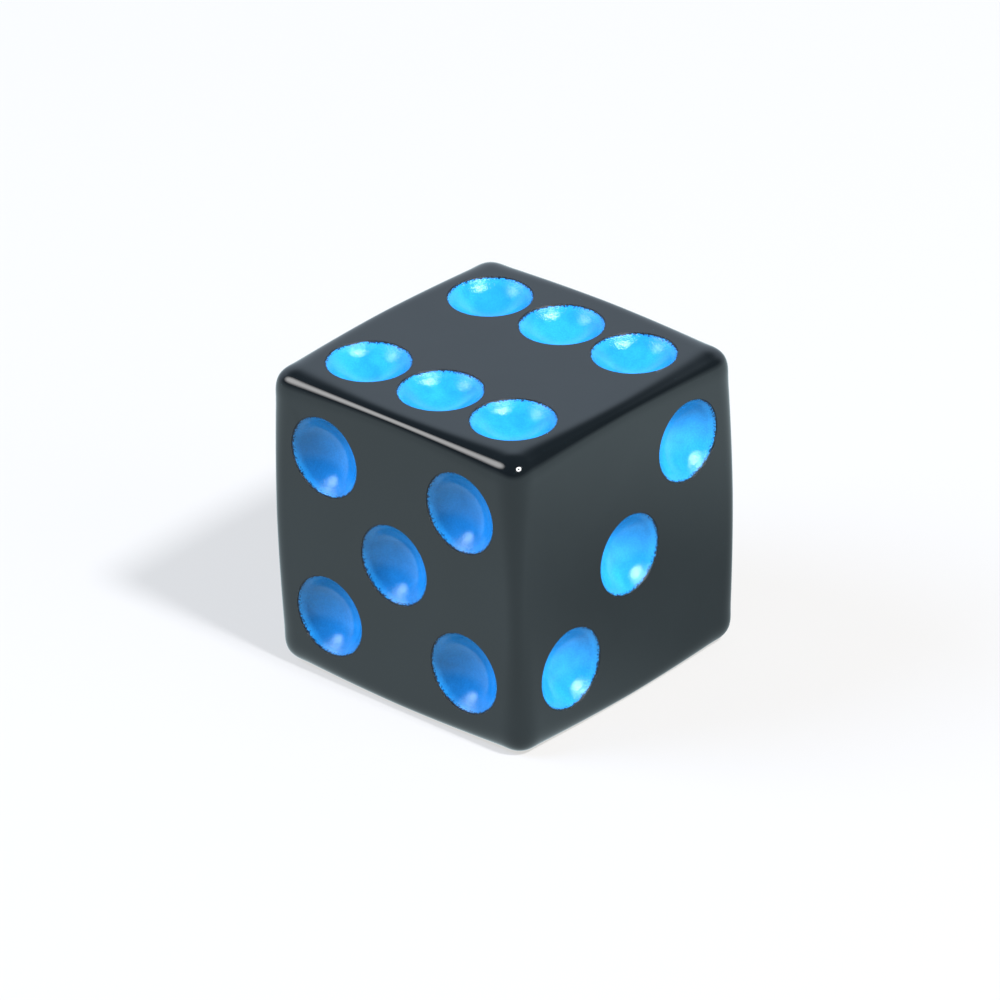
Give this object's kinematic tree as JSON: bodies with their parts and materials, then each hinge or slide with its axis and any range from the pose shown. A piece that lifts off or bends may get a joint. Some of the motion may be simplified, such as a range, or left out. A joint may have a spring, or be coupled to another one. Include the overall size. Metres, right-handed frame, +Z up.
{
  "type": "casino die",
  "caption": "Glossy dark moulded cube with softened edges, and painted round dimples on every side for throwing a number.",
  "frame": {"origin": "middle of the underside, the side with one pip", "axes": "+Z up through the side with six pips, -Y out of the side with five, +X out of the side with three; opposite sides add up to seven"},
  "size_m": [0.016, 0.016, 0.016],
  "materials": {
    "body_plastic": "polished opaque black moulding with fine handling marks",
    "pip_paint": "glossy bright blue enamel, pooled in the dimples"
  },
  "bodies": {
    "root": {"cube_body": "body_plastic", "one_pip_1": "pip_paint", "two_pip_1": "pip_paint", "two_pip_2": "pip_paint", "three_pip_1": "pip_paint", "three_pip_2": "pip_paint", "three_pip_3": "pip_paint", "four_pip_1": "pip_paint", "four_pip_2": "pip_paint", "four_pip_3": "pip_paint", "four_pip_4": "pip_paint", "five_pip_1": "pip_paint", "five_pip_2": "pip_paint", "five_pip_3": "pip_paint", "five_pip_4": "pip_paint", "five_pip_5": "pip_paint", "six_pip_1": "pip_paint", "six_pip_2": "pip_paint", "six_pip_3": "pip_paint", "six_pip_4": "pip_paint", "six_pip_5": "pip_paint", "six_pip_6": "pip_paint"}
  },
  "joints": []
}
